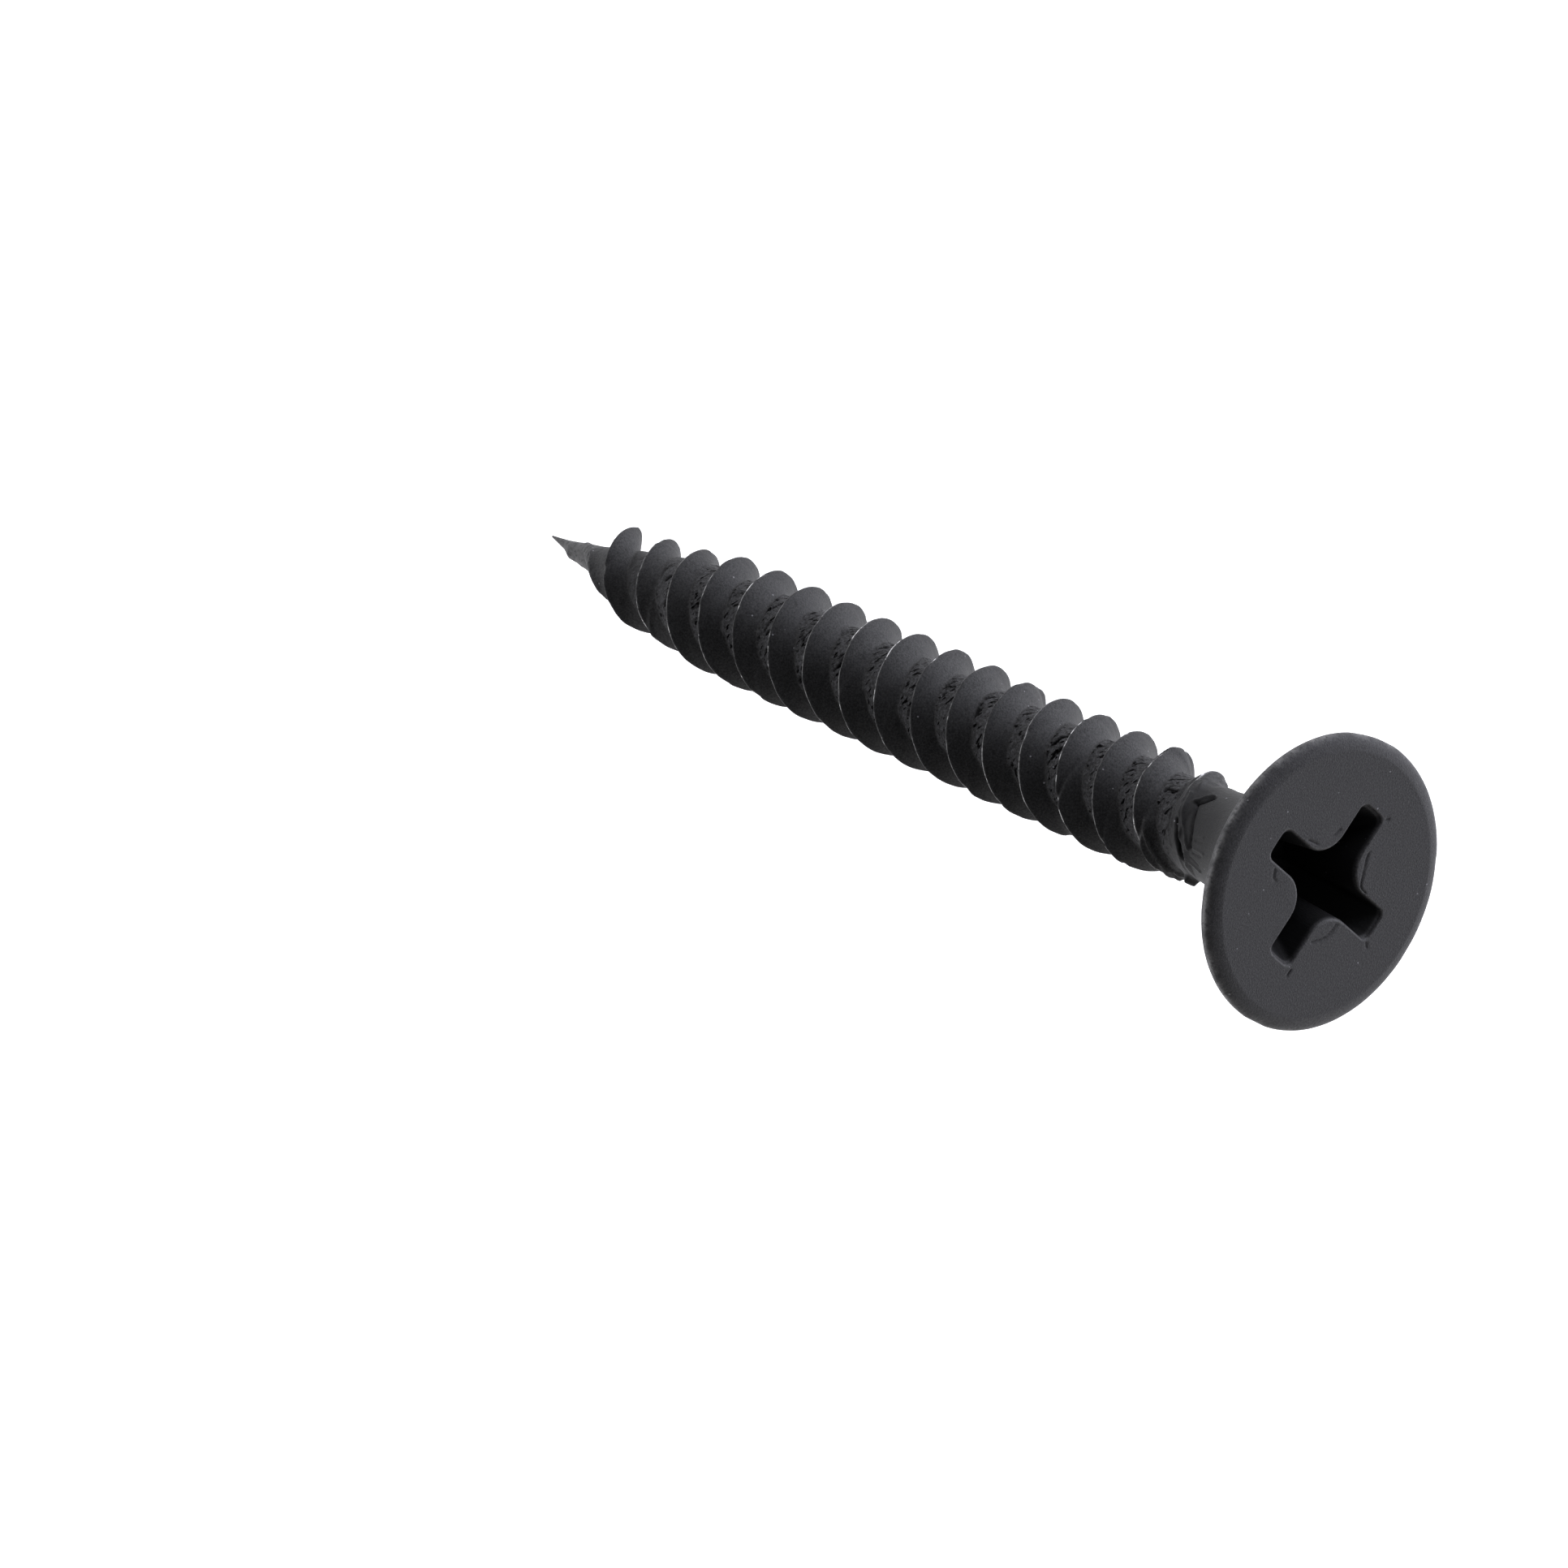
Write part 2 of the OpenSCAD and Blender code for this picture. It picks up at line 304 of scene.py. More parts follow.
def shank_point(angle, depth):
    """Surface points and their paint masks for arrays of angles and depths.

    Masks: worn metal with a painted highlight and painted glints on the crests, torn root,
    painted shade in cracks, tears, scars and on the neck, bare body that is no thread, and
    slant, a place along and across the root in steps of a tear's length and width."""
    phase = phase_at(angle, depth)
    crest = np.round(phase)
    across = (phase - crest) * SPACING
    crest_depth = depth - across
    along = depth * TURN * CORE_R / LEAD
    strip = np.floor(phase)
    track = np.c_[along, np.zeros_like(along), (crest % STARTS) * APART]

    # Crest: a little uneven everywhere, with nicks that are deeper towards the head
    rough = 0.3 + 0.7 * np.exp(-np.clip(crest_depth - 5, 0, None) / 6)
    nicks = np.clip(smooth_noise(track, 0.3, Seed.NICKS) - 0.3, 0, 1) * NICK * rough
    tremble = TREMBLE * layered_noise(track, 0.5, Seed.TREMBLE)
    top = crest_radius(crest_depth, crest % STARTS) - nicks + tremble

    # Flanks: nearly straight from a narrow land on the crest down to the root
    sway = 1 + 0.06 * smooth_noise(track, 1.2, Seed.SWAY)
    down_flank = np.clip((np.abs(across) - CREST_LAND) / (FLANK_W * sway - CREST_LAND), 0, 1)
    lift = (1 - down_flank) ** 1.06
    body = body_radius(depth)
    height = np.clip(top - body, 0, None)
    threaded = step(depth, *THREAD_BEGINS) * step(TIP - depth, *THREAD_ENDS)
    r = body + height * lift * threaded

    # Root: a raised strip of unrolled metal, lumpy, with short slanting tears
    inside = (phase - strip) * SPACING
    odd = (strip % STARTS) * APART
    foot = FLANK_W + 0.05 * smooth_noise(track, 0.5, Seed.FOOT)
    root = step(np.abs(across), foot - 0.02, foot + 0.03) * step(depth, *ROOT_BEGINS)
    root = root * step(TIP - depth, *ROOT_ENDS)
    patch = layered_noise(np.c_[along, 0 * along, odd], 1.3, Seed.PATCHES, 2)
    patch = step(patch, -0.7, 0.4)
    lumps = layered_noise(np.c_[along, 2 * inside, odd], 0.3, Seed.LUMPS)
    slant = np.c_[along / TEAR_L, (inside - TEAR_SLANT * along) / TEAR_W, odd]
    tear = step(smooth_noise(slant, 1.0, Seed.TEARS), 0.5, 0.65) * root * patch
    r = r + root * (ROOT_STRIP + LUMP * lumps * (0.4 + 0.6 * patch)) - TEAR * tear

    # The thread's first turn is laminated: thin folds beside the crest, torn here and there
    first_turn = step(depth, 4.75, 5.0) * (1 - step(depth, 6.2, 7.2))
    wavy = across + 0.05 * smooth_noise(track, 0.8, Seed.FOLDS)
    fold = bell(wavy, -0.24, 0.035) + 0.8 * bell(wavy, 0.3, 0.03) + 0.5 * bell(wavy, 0.52, 0.03)
    fold = fold * step(smooth_noise(track, 1.1, Seed.BROKEN_FOLDS), -0.5, 0.1)
    r = r + FOLD * fold * first_turn
    crumpled = step(depth, 4.5, 4.9) * (1 - step(depth, 5.6, 6.4))
    r = r + CRUMPLE * crumpled * layered_noise(slant, 2.5, Seed.CRUMPLES)

    scar, open_scar = scarred(angle, depth)
    r = r + scar

    space = np.c_[r * np.cos(angle), r * np.sin(angle), -depth]
    r = r + UNEVEN_SHANK * layered_noise(space, 0.35, Seed.UNEVEN_SHANK)

    bend = np.interp(TIP - depth, BEND[:, 0], BEND[:, 1])
    xyz = np.c_[
        r * np.cos(angle) + bend * math.cos(BEND_SIDE),
        r * np.sin(angle) + bend * math.sin(BEND_SIDE),
        -depth,
    ]

    # Worn metal on the crests, which is also a painted highlight along them, with painted glints
    # in beads here and there, and worn metal at the tip
    on_crest = np.clip(1 - np.abs(across) / WORN_W, 0, 1) * threaded * step(height, 0.03, 0.2)
    wear = on_crest * np.clip(0.36 + 0.95 * layered_noise(track, 0.6, Seed.CREST_WEAR), 0.08, 1.2)
    beads = step(smooth_noise(track, 0.13, Seed.BEADS), 0.3, 0.5)
    beads = beads * step(smooth_noise(track, 1.7, Seed.BEAD_RUNS), -0.3, 0.3)
    wear = (wear + 1.5 * beads * on_crest) * (0.35 + 0.65 * step(TIP - depth, *WEAR_ENDS))
    wear = wear + 0.2 * (1 - step(TIP - depth, 1.8, 2.6))

    # The neck is as bare as the foot of the flare, and painted as dark, with the shade under the
    # head.
    bare = NECK_BARE * (1 - step(depth, 4.6, 5.6))
    # Tears and open scars get painted shade, near black.
    crack = np.maximum(np.maximum(tear, open_scar), NECK_DARK / NECK_BARE * bare)
    masks = {"wear": wear, "root": root, "crack": crack, "bare": bare, "slant": slant}
    return xyz, masks


# ---- meshes ---------------------------------------------------------------------------------
def build_piece(name, points, faces, masks, material, sharp_rings=()):
    """A smooth-shaded object from points in millimetres, with each mask as an attribute."""
    clean = []
    for face in faces.tolist():
        corners = list(dict.fromkeys(face))
        if len(corners) > 2:
            clean.append(corners)
    mesh = bpy.data.meshes.new(name)
    mesh.from_pydata((points * MM).tolist(), [], clean)
    mesh.polygons.foreach_set("use_smooth", np.ones(len(mesh.polygons), bool))
    for key, values in masks.items():
        values = np.asarray(values, np.float32)
        if values.ndim == 1:
            mesh.attributes.new(key, "FLOAT", "POINT").data.foreach_set("value", values)
        else:
            layer = mesh.attributes.new(key, "FLOAT_VECTOR", "POINT")
            layer.data.foreach_set("vector", (values * MM).ravel())
    if sharp_rings:
        edges = np.zeros(len(mesh.edges) * 2, np.int32)
        mesh.edges.foreach_get("vertices", edges)
        edges = edges.reshape(-1, 2)
        sharp = np.zeros(len(edges), bool)
        for first in sharp_rings:
            sharp |= ((edges >= first) & (edges < first + AROUND)).all(1)
        layer = mesh.attributes.new("sharp_edge", "BOOLEAN", "EDGE")
        layer.data.foreach_set("value", sharp)
    mesh.validate()
    mesh.update()
    piece = bpy.data.objects.new(name, mesh)
    bpy.context.scene.collection.objects.link(piece)
    mesh.materials.append(material)
    return piece


def ring_faces(first, rings, reverse=False):
    """Quads between successive rings of AROUND points."""
    i = np.arange(AROUND)
    j = (i + 1) % AROUND
    out = []
    for k in range(rings - 1):
        a, b = first + k * AROUND, first + (k + 1) * AROUND
        quad = np.c_[a + i, b + i, b + j, a + j]
        out.append(quad[:, ::-1] if reverse else quad)
    return np.concatenate(out)


def fan_faces(ring, centre, reverse=False):
    """Triangles from a ring to its centre point, written as quads with a repeated corner."""
    i = np.arange(AROUND)
    j = (i + 1) % AROUND
    c = np.full(AROUND, centre)
    fan = np.c_[ring + i, c, c, ring + j]
    return fan[:, ::-1] if reverse else fan


def with_blanks(values):
    """Mask values with two more rows for the middle points of a piece's two ends."""
    return np.concatenate([values, np.zeros((2,) + values.shape[1:])])


ANGLES = np.arange(AROUND) * TURN / AROUND


def helical_grid(top, bottom):
    """Points and faces between two depths, with rows that follow the crests exactly.

    Rows are lines of equal phase, so they wind with the thread. Rows that leave the range are
    folded into its first and last ring."""
    k = np.arange(-ROWS_PER_CREST // 2, ROWS_PER_CREST // 2)
    share = k / (ROWS_PER_CREST / 2)
    in_spacing = np.sign(share) * 0.5 * np.abs(share) ** CLOSER
    low = math.floor(phase_at(0.0, top)) - 1
    high = math.ceil(phase_at(TURN, bottom)) + 2
    rows = (np.arange(low, high)[:, None] + in_spacing).ravel()
    depth = SPACING * (rows[None, :] - (ANGLES[:, None] - THREAD_PHASE) * STARTS / TURN)
    above, below = depth <= top + ROW_SNAP, depth >= bottom - ROW_SNAP
    inner = ~(above | below)
    ids = np.zeros(depth.shape, np.int64)
    columns = np.repeat(np.arange(AROUND)[:, None], len(rows), 1)
    ids[above] = columns[above]
    ids[below] = AROUND + columns[below]
    ids[inner] = 2 * AROUND + np.arange(inner.sum())
    angle = np.concatenate([ANGLES, ANGLES, columns[inner] * TURN / AROUND])
    depths = np.concatenate([np.full(AROUND, top), np.full(AROUND, bottom), depth[inner]])
    shift = STARTS * ROWS_PER_CREST
    wrapped = np.vstack([ids[1:], np.concatenate([np.zeros(shift, np.int64), ids[0, :-shift]])])
    faces = np.stack([ids[:, :-1], ids[:, 1:], wrapped[:, 1:], wrapped[:, :-1]], -1)
    return angle, depths, faces.reshape(-1, 4)


def make_shank(material):
    angle, depth, faces = helical_grid(HEAD_CUT, NEEDLE_CUT)
    points, masks = shank_point(angle, depth)
    ends = np.array([[0, 0, -HEAD_CUT], [0, 0, -NEEDLE_CUT]])
    count = len(points)
    points = np.vstack([points, ends])
    masks = {key: with_blanks(values) for key, values in masks.items()}
    faces = np.vstack([faces, fan_faces(0, count, True), fan_faces(AROUND, count + 1)])
    return build_piece("threaded_shank", points, faces, masks, material, (0, AROUND))


def make_needle(material):
    share = np.linspace(0, 1, NEEDLE_RINGS)
    depths = NEEDLE_CUT + (TIP - NEEDLE_CUT) * (1 - (1 - share) ** CLOSER)
    angle = np.tile(ANGLES, len(depths))
    points, masks = shank_point(angle, np.repeat(depths, AROUND))
    last = len(points)
    tip_middle = points[-AROUND:].mean(0) - [0, 0, TIP_ROUND]
    points = np.vstack([points, [[0, 0, -NEEDLE_CUT]], [tip_middle]])
    masks = {key: with_blanks(values) for key, values in masks.items()}
    faces = np.vstack([
        ring_faces(0, len(depths)),
        fan_faces(0, last, True),
        fan_faces(last - AROUND, last + 1),
    ])
    return build_piece("needle_point", points, faces, masks, material, (0,))


# ---- head -----------------------------------------------------------------------------------
def cross_ring(span, width, web, corner):
    """AROUND points of the recess's outline, evenly spaced within each eighth of it.

    An eighth runs from the middle of a wing's end, round its corner and along its side, to
    the middle of the rounded corner between two wings."""
    half = width / 2
    fine = np.linspace(0.15, math.pi / 2, 24)
    rounding = np.c_[
        span / 2 - corner + corner * np.cos(fine), half - corner + corner * np.sin(fine)
    ]
    end = np.array([[span / 2 + WING_BULGE, 0.0]])
    quarter = np.linspace(0, math.pi / 4, 24)
    webbing = np.c_[half + web - web * np.sin(quarter), half + web - web * np.cos(quarter)]
    line = np.vstack([end, rounding, webbing])
    length = np.concatenate([[0], np.cumsum(np.hypot(*np.diff(line, axis=0).T))])
    share = np.linspace(0, 1, AROUND // 8 + 1) * length[-1]
    eighth = np.c_[np.interp(share, length, line[:, 0]), np.interp(share, length, line[:, 1])]
    quadrant = np.vstack([eighth, eighth[-2:0:-1, ::-1]])
    turned = []
    for k in range(4):
        c, s = math.cos(k * math.pi / 2 + RECESS_TURN), math.sin(k * math.pi / 2 + RECESS_TURN)
        turned.append(quadrant @ np.array([[c, s], [-s, c]]))
    return np.vstack(turned)


def at_depth(ring, depth):
    return np.c_[ring, np.full(len(ring), -depth)]


def recess_rings():
    """Rings from the floor of the recess up its tapering walls and over its rounded lip."""
    rings = []
    for share in np.linspace(1, 0, RECESS_RINGS):
        depth = LIP_H + (RECESS_DEPTH - LIP_H) * share**1.1
        down = depth / RECESS_DEPTH
        span = RECESS_SPAN - 2 * LIP_W + (RECESS_FLOOR_SPAN - RECESS_SPAN) * down
        width = (WING_W - 2 * LIP_W) * (1 - WING_TAPER * down)
        web = WEB_R * (1 - WEB_TAPER * down)
        corner = RECESS_CORNER * (1 - CORNER_TAPER * down)
        rings.append(at_depth(cross_ring(span, width, web, corner), depth))
    for turn in np.linspace(0.15, 1, LIP_RINGS) * math.pi / 2:
        inset = LIP_W * math.cos(turn)
        ring = cross_ring(RECESS_SPAN - 2 * inset, WING_W - 2 * inset, WEB_R, RECESS_CORNER)
        rings.append(at_depth(ring, LIP_H * (1 - math.sin(turn))))
    return rings


def face_rings(mouth):
    """Rings from the recess's lip out to the edge of the flat top, closest near the lip."""
    edge = np.c_[np.cos(ANGLES), np.sin(ANGLES)] * (HEAD_R - SHOULDER_W)
    rings = []
    for share in np.append(np.linspace(0, 1, FACE_RINGS)[1:-1] ** 1.7, [0.985, 1]):
        rings.append(at_depth(mouth[:, :2] * (1 - share) + edge * share, 0.0))
    return rings


def side_rings():
    """Rings over the shoulder, round the rim and down the flare to the shank."""
    profile = []
    for turn in np.linspace(SHOULDER_CREASE, math.pi / 2, SHOULDER_RINGS)[1:]:
        out = (math.sin(turn) - math.sin(SHOULDER_CREASE)) / (1 - math.sin(SHOULDER_CREASE))
        down = 1 - math.cos(turn) / math.cos(SHOULDER_CREASE)
        profile.append((HEAD_R - SHOULDER_W * (1 - out), SHOULDER_H * down))
    for share in np.linspace(0, 1, RIM_RINGS)[1:]:
        profile.append((
            HEAD_R - RIM_UNDERCUT * share**2,
            SHOULDER_H + (RIM_H - SHOULDER_H) * share,
        ))
    for share in np.linspace(0, 1, FLARE_RINGS)[1:]:
        depth = RIM_H + (HEAD_CUT - RIM_H) * share**CLOSER
        profile.append((float(flare_radius(depth)), depth))
    return [np.c_[r * np.cos(ANGLES), r * np.sin(ANGLES), np.full(AROUND, -d)] for r, d in profile]


def make_head(material):
    inner = recess_rings()
    flat = face_rings(inner[-1])
    side = side_rings()
    rings = inner + flat + side
    points = np.vstack(rings)
    radius = np.hypot(points[:, 0], points[:, 1])
    depth = -points[:, 2]
    outward = points[:, :2] / np.maximum(radius, 1e-6)[:, None]
    outside = np.arange(len(points)) >= len(inner + flat) * AROUND
    in_recess = np.arange(len(points)) < len(inner) * AROUND

    # The outline is a little oval, and the rim is dented here and there.
    angle = np.arctan2(points[:, 1], points[:, 0])
    oval = HEAD_OVAL * np.cos(2 * (angle - OVAL_SIDE)) * step(radius, 2.7, 3.9)
    rim = bell(depth, SHOULDER_H, 0.25) * step(radius, HEAD_R * 0.8, HEAD_R)
    dents = np.clip(smooth_noise(points, 0.8, Seed.DENTS) - 0.35, 0, 1) * DENT
    wobble = WOBBLE * smooth_noise(points, 3.0, Seed.WOBBLE)
    points[:, :2] += outward * (oval + rim * (wobble - dents))[:, None]
    fade = step(HEAD_CUT - depth, 0, 0.8)
    uneven = layered_noise(points, 0.5, Seed.UNEVEN_HEAD) * fade
    points += UNEVEN_HEAD * uneven[:, None] * np.c_[outward, 0 * depth]

    # The punch has torn the flat top beside the recess, and raised it a little.
    on_top = bell(depth, 0, 0.02)
    shift = [smooth_noise(points, 0.25, seed) for seed in (Seed.RAGGED_X, Seed.RAGGED_Y)]
    ragged = points[:, :2] + 0.03 * np.transpose(shift)
    crack = np.zeros(len(points))
    for line in FACE_CRACKS:
        crack = np.maximum(crack, bell(near_line(ragged, line), 0, CRACK_W) * on_top)
    lifted = bell(radius, 1.45, 0.35) * on_top
    lifted = lifted * (0.5 + 0.5 * smooth_noise(points, 0.7, Seed.FACE_LIFT))
    points[:, 2] += FACE_LIFT * lifted - FACE_CRACK * crack

    # Painted shade: the cracks are painted dark, and so is the recess from just below its lip,
    # where shade falls.
    crack = np.maximum(CRACK_DARK * crack, RECESS_DARK * step(depth, 0.04, 0.18) * in_recess)

    # The neck's scars run up into the flare.
    scar, open_scar = scarred(angle, depth)
    on_flare = step(depth, 2.8, 3.2) * outside
    points[:, :2] += outward * (scar * on_flare)[:, None]
    # Open scars on the flare get painted shade.
    crack = np.maximum(crack, open_scar * on_flare)

    # The last ring is the shank's first, noise included.
    points[-AROUND:] = shank_point(ANGLES, np.full(AROUND, HEAD_CUT))[0]

    # Painted highlight on the rim's shoulder, over a little rubbed wear, and a thin painted
    # highlight along the recess's lip.
    wear = bell(depth, 0.26, 0.12) * step(radius, HEAD_R - 0.3, HEAD_R - 0.05)
    wear = wear * np.clip(0.24 + 0.25 * layered_noise(points, 0.3, Seed.RIM_WEAR), 0, 1)
    wear = np.maximum(wear, 0.13 * bell(depth, 0.02, 0.03) * in_recess)
    down_flare = step(depth, 1.5, 3.5) * outside
    bare = 1 - (1 - NECK_BARE) * down_flare
    # Painted shade on the foot of the flare, under the head.
    crack = np.maximum(crack, NECK_DARK * down_flare)
    masks = {"wear": wear, "root": 0 * wear, "crack": crack, "bare": bare}
    count = len(points)
    floor = [0, 0, -RECESS_DEPTH - RECESS_TIP]
    points = np.vstack([points, [floor], [[0, 0, -HEAD_CUT]]])
    masks = {key: with_blanks(values) for key, values in masks.items()}
    faces = np.vstack([
        ring_faces(0, len(rings)),
        fan_faces(0, count, True),
        fan_faces(count - AROUND, count + 1),
    ])
    return build_piece("bugle_head", points, faces, masks, material, (count - AROUND,))


# ---- materials ------------------------------------------------------------------------------
class Nodes:
    """Short calls for making and wiring shader nodes."""

    def __init__(self, name):
        self.material = bpy.data.materials.new(name)
        self.material.use_nodes = True
        self.tree = self.material.node_tree
        self.tree.nodes.clear()

    def add(self, kind, inputs=None, **settings):
        node = self.tree.nodes.new("ShaderNode" + kind)
        for key, value in settings.items():
            setattr(node, key, value)
        for key, value in (inputs or {}).items():
            if isinstance(value, bpy.types.NodeSocket):
                self.tree.links.new(value, node.inputs[key])
            else:
                node.inputs[key].default_value = value
        return node

    def place(self, stretch=(1, 1, 1)):
        """Object coordinates, divided by stretch."""
        here = self.add("TexCoord").outputs["Object"]
        scale = tuple(1 / s for s in stretch)
        return self.add("Mapping", {"Vector": here, "Scale": scale}).outputs["Vector"]

    def noise(self, size_mm, detail=3.0, rough=0.55, stretch=(1, 1, 1), where=None):
        """Noise from 0 to 1 with features of about size_mm."""
        return self.add(
            "TexNoise",
            {
                "Vector": where or self.place(stretch),
                "Scale": 1 / (size_mm * MM),
                "Detail": detail,
                "Roughness": rough,
            },
        ).outputs["Fac"]

    def math(self, how, a, b=0.0, c=0.0):
        return self.add("Math", {0: a, 1: b, 2: c}, operation=how).outputs[0]

    def range(self, value, low, high, to_low=0.0, to_high=1.0):
        return self.add(
            "MapRange",
            {"Value": value, 1: low, 2: high, 3: to_low, 4: to_high},
            interpolation_type="SMOOTHSTEP",
        ).outputs[0]

    def mix(self, fac, a, b):
        """A colour mix of a and b."""
        node = self.add("Mix", data_type="RGBA")
        for index, value in ((0, fac), (6, a), (7, b)):
            if isinstance(value, bpy.types.NodeSocket):
                self.tree.links.new(value, node.inputs[index])
            else:
                node.inputs[index].default_value = value
        return node.outputs[2]

    def mask(self, name):
        return self.add("Attribute", attribute_name=name).outputs["Fac"]

    def bump(self, height, distance_mm, strength, below=None):
        inputs = {"Height": height, "Distance": distance_mm * MM, "Strength": strength}
        if below is not None:
            inputs["Normal"] = below
        return self.add("Bump", inputs).outputs["Normal"]


def grey(value, blue=1.08):
    """A linear grey with a cast of blue."""
    return (value, value * 0.99, value * blue, 1)


# Linear greys of the surface: from and to where it is cloudy or torn
THREAD_GREYS, SMOOTH_GREYS, TORN_GREYS = (0.009, 0.014), (0.027, 0.034), (0.01, 0.065)
# The crack grey is painted shade. The speck, worn and bright greys are painted glints and
# highlights, and the worn one is worn metal too.
GRIT_GREY, CRACK_GREY, SPECK_GREY, WORN_GREY, BRIGHT_GREY = 0.05, 0.002, 0.3, 0.3, 0.75
SPECK_CELL = 0.42  # a cell holds one light speck, a painted glint, at most


def phosphate(name):
    """Matt black phosphate on steel: fine crystalline grain, cloudy patches, light specks that are
    painted glints, grey metal where edges are worn with a painted highlight and painted glints
    on it, and a rough lighter skin in the torn thread root, with painted shade in cracks, tears,
    the recess and under the head. It is blacker on the thread than on the head and the neck."""
    n = Nodes(name)
    bare, root, crack, wear = (n.mask(key) for key in ("bare", "root", "crack", "wear"))
    clouds = n.noise(1.1, 2.0)
    grain = n.noise(0.05, 3.0, 0.6)
    fine = n.noise(0.028, 1.0)
    cloudy = n.range(clouds, 0.3, 0.7)
    thread, smooth = (
        n.mix(cloudy, grey(dark), grey(light)) for dark, light in (THREAD_GREYS, SMOOTH_GREYS)
    )
    colour = n.mix(bare, thread, smooth)
    grit = n.range(grain, 0.52, 0.72)
    colour = n.mix(n.math("MULTIPLY", grit, 0.4), colour, grey(GRIT_GREY))

    # Dark dashes in the root and flecks on the flanks are painted shade of small tears, and join
    # the cracks.
    slant = n.add("Attribute", attribute_name="slant").outputs["Vector"]
    dashes = n.range(n.noise(1.0, 1.5, where=slant), 0.59, 0.63)
    crack = n.math("MAXIMUM", crack, n.math("MULTIPLY", dashes, root))
    flecks = n.range(n.noise(0.16, 2.0), 0.64, 0.69)
    flecks = n.math("MULTIPLY", flecks, n.math("MULTIPLY_ADD", bare, -0.45, 0.45))
    crack = n.math("MAXIMUM", crack, flecks)
    torn = n.noise(0.09, 4.0, 0.65)
    torn_colour = n.mix(n.range(torn, 0.38, 0.68), *(grey(level) for level in TORN_GREYS))
    colour = n.mix(n.math("MULTIPLY", root, 0.75), colour, torn_colour)
    # Painted shade: near black in cracks, tears, scars, the recess and under the head.
    colour = n.mix(crack, colour, grey(CRACK_GREY))

    # Light specks that are painted glints, then worn metal that is also a painted highlight, and
    # painted glints where it is brightest, in its beads
    cells = n.add(
        "TexVoronoi",
        {"Vector": n.place(), "Scale": 1 / (SPECK_CELL * MM), "Randomness": 1.0},
    )
    speck = n.range(cells.outputs["Distance"], 0.04, 0.08, 1.0, 0.0)
    rare = n.range(n.add("SeparateColor", {0: cells.outputs["Color"]}).outputs[0], 0.52, 0.56)
    speck = n.math("MULTIPLY", speck, rare)
    colour = n.mix(n.math("MULTIPLY", speck, 0.6), colour, grey(SPECK_GREY))
    patchy = n.range(n.noise(0.12, 3.0), 0.28, 0.55)
    worn = n.math("MULTIPLY", wear, patchy)
    colour = n.mix(worn, colour, grey(WORN_GREY, 1.0))
    colour = n.mix(n.range(worn, 1.0, 1.5), colour, grey(BRIGHT_GREY, 1.0))

    rough = n.range(clouds, 0.2, 0.8, 0.52, 0.58)
    rough = n.math("MULTIPLY_ADD", grain, 0.14, rough)
    rough = n.math("MULTIPLY_ADD", root, 0.12, rough)

    # Relief: unevenness, crystals, torn root, drawing streaks and dashes
    streak = n.noise(0.05, 2.0, 0.5, stretch=(1, 1, 8))
    streak = n.range(streak, 0.5, 0.68)
    normal = n.bump(n.noise(0.4, 2.0), 0.004, 0.35)
    normal = n.bump(grain, 0.006, 0.8, normal)
    normal = n.bump(fine, 0.0025, 0.8, normal)
    normal = n.bump(n.math("MULTIPLY", torn, root), 0.045, 0.9, normal)
    normal = n.bump(streak, 0.006, n.range(bare, 0.0, 0.3, 0.0, 0.6), normal)
    normal = n.bump(n.math("SUBTRACT", 1.0, dashes), 0.04, root, normal)

    # A black base that counts as metal reflects nothing, like a pore. Where the cracks are, this
    # is painted shade in cracks, tears, scars, the recess and under the head.
    pores = n.range(n.noise(0.055, 2.0, 0.6), 0.3, 0.7, 0.0, 0.5)
    shader = n.add(
        "BsdfPrincipled",
        {
            "Base Color": colour,
            "Roughness": rough,
            "Normal": normal,
            "IOR": 1.5,
            "Metallic": n.math("MAXIMUM", pores, crack),
        },
    )
    out = n.add("OutputMaterial")
    n.tree.links.new(shader.outputs[0], out.inputs["Surface"])
    return n.material


FLOOR_GLOW = 0.85


def floor_material():
    """White paper on a light table, so that no shadow shows on it."""
    n = Nodes("pale_floor")
    tint = n.mix(n.noise(60, 2.0), (0.93, 0.93, 0.93, 1), (0.95, 0.95, 0.95, 1))
    shader = n.add(
        "BsdfPrincipled",
        {
            "Base Color": tint,
            "Roughness": 0.9,
            "Emission Color": tint,
            "Emission Strength": FLOOR_GLOW,
        },
    )
    out = n.add("OutputMaterial")
    n.tree.links.new(shader.outputs[0], out.inputs["Surface"])
    return n.material


# ---- camera: angles in degrees, lengths in millimetres --------------------------------------
CAMERA_AZIMUTH = 10.2
CAMERA_ELEVATION = 46.66
CAMERA_ROLL = 114.8
CAMERA_DISTANCE = 395.63
CAMERA_LENS = 322.99
SENSOR = 36.0
AIM_RIGHT, AIM_UP = 4.036, 2.213  # how far the screw's middle stands from the view's centre


def camera_axes():
    """The view's right, up and back directions in the row frame."""
    azimuth, elevation = math.radians(CAMERA_AZIMUTH), math.radians(CAMERA_ELEVATION)
    back = Vector((
        math.sin(azimuth) * math.cos(elevation),
        -math.cos(azimuth) * math.cos(elevation),
        math.sin(elevation),
    ))
    level = Vector((0, 0, 1)).cross(back).normalized()
    rise = back.cross(level)
    roll = math.radians(CAMERA_ROLL)
    right = level * math.cos(roll) + rise * math.sin(roll)
    return right, back.cross(right), back


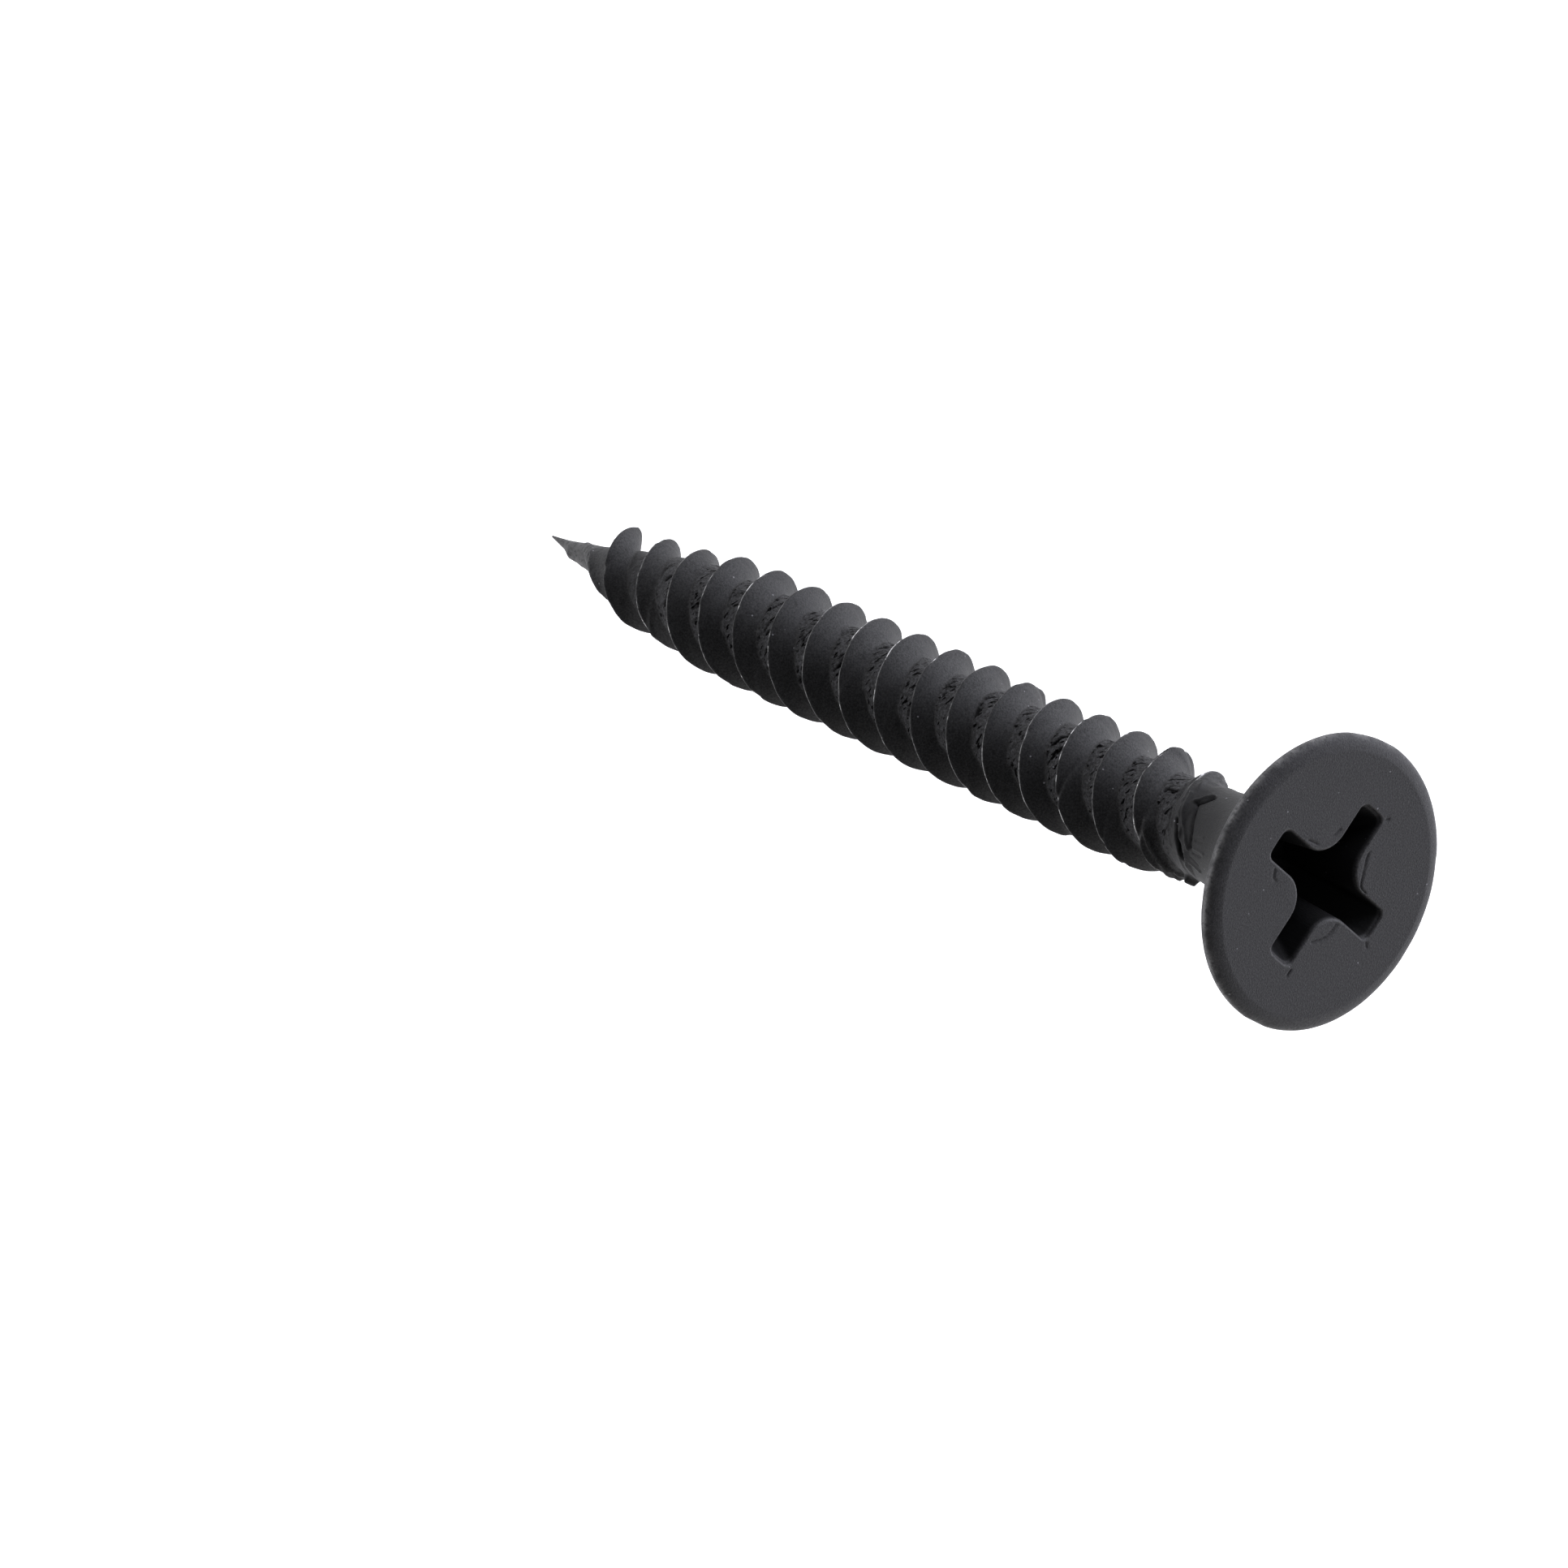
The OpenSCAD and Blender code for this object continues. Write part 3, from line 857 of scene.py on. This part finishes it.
def make_camera():
    right, up, back = camera_axes()
    low, high = cad_box
    middle = (low + high) / 2
    eye = middle + (back * CAMERA_DISTANCE - right * AIM_RIGHT - up * AIM_UP) * MM
    data = bpy.data.cameras.new("camera")
    data.lens, data.sensor_width = CAMERA_LENS, SENSOR
    data.clip_start, data.clip_end = 0.01, 10
    camera = bpy.data.objects.new("camera", data)
    camera.matrix_world = Matrix.Translation(eye) @ Matrix((right, up, back)).transposed().to_4x4()
    bpy.context.scene.collection.objects.link(camera)
    bpy.context.scene.camera = camera


# ---- floor and light ------------------------------------------------------------------------
FLOOR_HALF, FLOOR_DROP = 3.0, 0.0005  # metres
ROOM_LIGHT = 0.1
# Name, direction from the screw, distance and size in metres, power in watts, and colour
LIGHTS = [
    ("key", (-0.85, 0.25, 0.3), 0.5, 0.6, 3.6, (0.9, 0.91, 1.0)),
    ("back", (-0.15, 0.9, 0.42), 0.6, 0.8, 3.0, (0.95, 0.95, 1.0)),
    ("side", (-0.74, -0.53, 0.41), 0.5, 0.25, 0.32, (0.9, 0.92, 1.0)),
    ("edge", (0.6, 0.75, 0.25), 0.5, 0.35, 0.3, (1.0, 0.97, 0.9)),
]


def make_floor(material):
    height = cad_box[0].z - FLOOR_DROP
    corners = [(x * FLOOR_HALF, y * FLOOR_HALF) for x, y in ((-1, -1), (1, -1), (1, 1), (-1, 1))]
    mesh = bpy.data.meshes.new("floor")
    mesh.from_pydata([(x, y, height) for x, y in corners], [], [(0, 1, 2, 3)])
    mesh.materials.append(material)
    floor = bpy.data.objects.new("floor", mesh)
    bpy.context.scene.collection.objects.link(floor)


def make_light(name, direction, distance, size, power, tint):
    """A square soft box that faces the screw from a direction in the row frame."""
    data = bpy.data.lights.new(name, "AREA")
    data.shape, data.size, data.energy, data.color = "SQUARE", size, power, tint
    light = bpy.data.objects.new(name, data)
    away = Vector(direction).normalized()
    light.location = (cad_box[0] + cad_box[1]) / 2 + away * distance
    light.rotation_mode = "QUATERNION"
    light.rotation_quaternion = away.to_track_quat("Z", "Y")
    light.visible_camera = False
    bpy.context.scene.collection.objects.link(light)


def make_world(strength):
    """A dim room that the camera sees as white."""
    world = bpy.data.worlds.new("studio")
    world.use_nodes = True
    tree = world.node_tree
    background = tree.nodes["Background"]
    background.inputs["Color"].default_value = (1, 1, 1, 1)
    seen = tree.nodes.new("ShaderNodeLightPath").outputs["Is Camera Ray"]
    level = tree.nodes.new("ShaderNodeMapRange")
    level.inputs["To Min"].default_value = strength
    tree.links.new(seen, level.inputs["Value"])
    tree.links.new(level.outputs["Result"], background.inputs["Strength"])
    bpy.context.scene.world = world


# ---- scene ----------------------------------------------------------------------------------
make_camera()
make_floor(floor_material())
make_world(ROOM_LIGHT)
for light in LIGHTS:
    make_light(*light)
bpy.context.scene.view_settings.view_transform = "Standard"

smooth_black = phosphate("phosphate_steel")
thread_black = phosphate("thread_flank")

head = make_head(smooth_black)
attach(head, "root")
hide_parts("head")

shank = make_shank(thread_black)
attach(shank, "root")
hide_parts("neck", "core", "thread_a", "thread_b")

needle = make_needle(thread_black)
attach(needle, "root")
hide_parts("point")
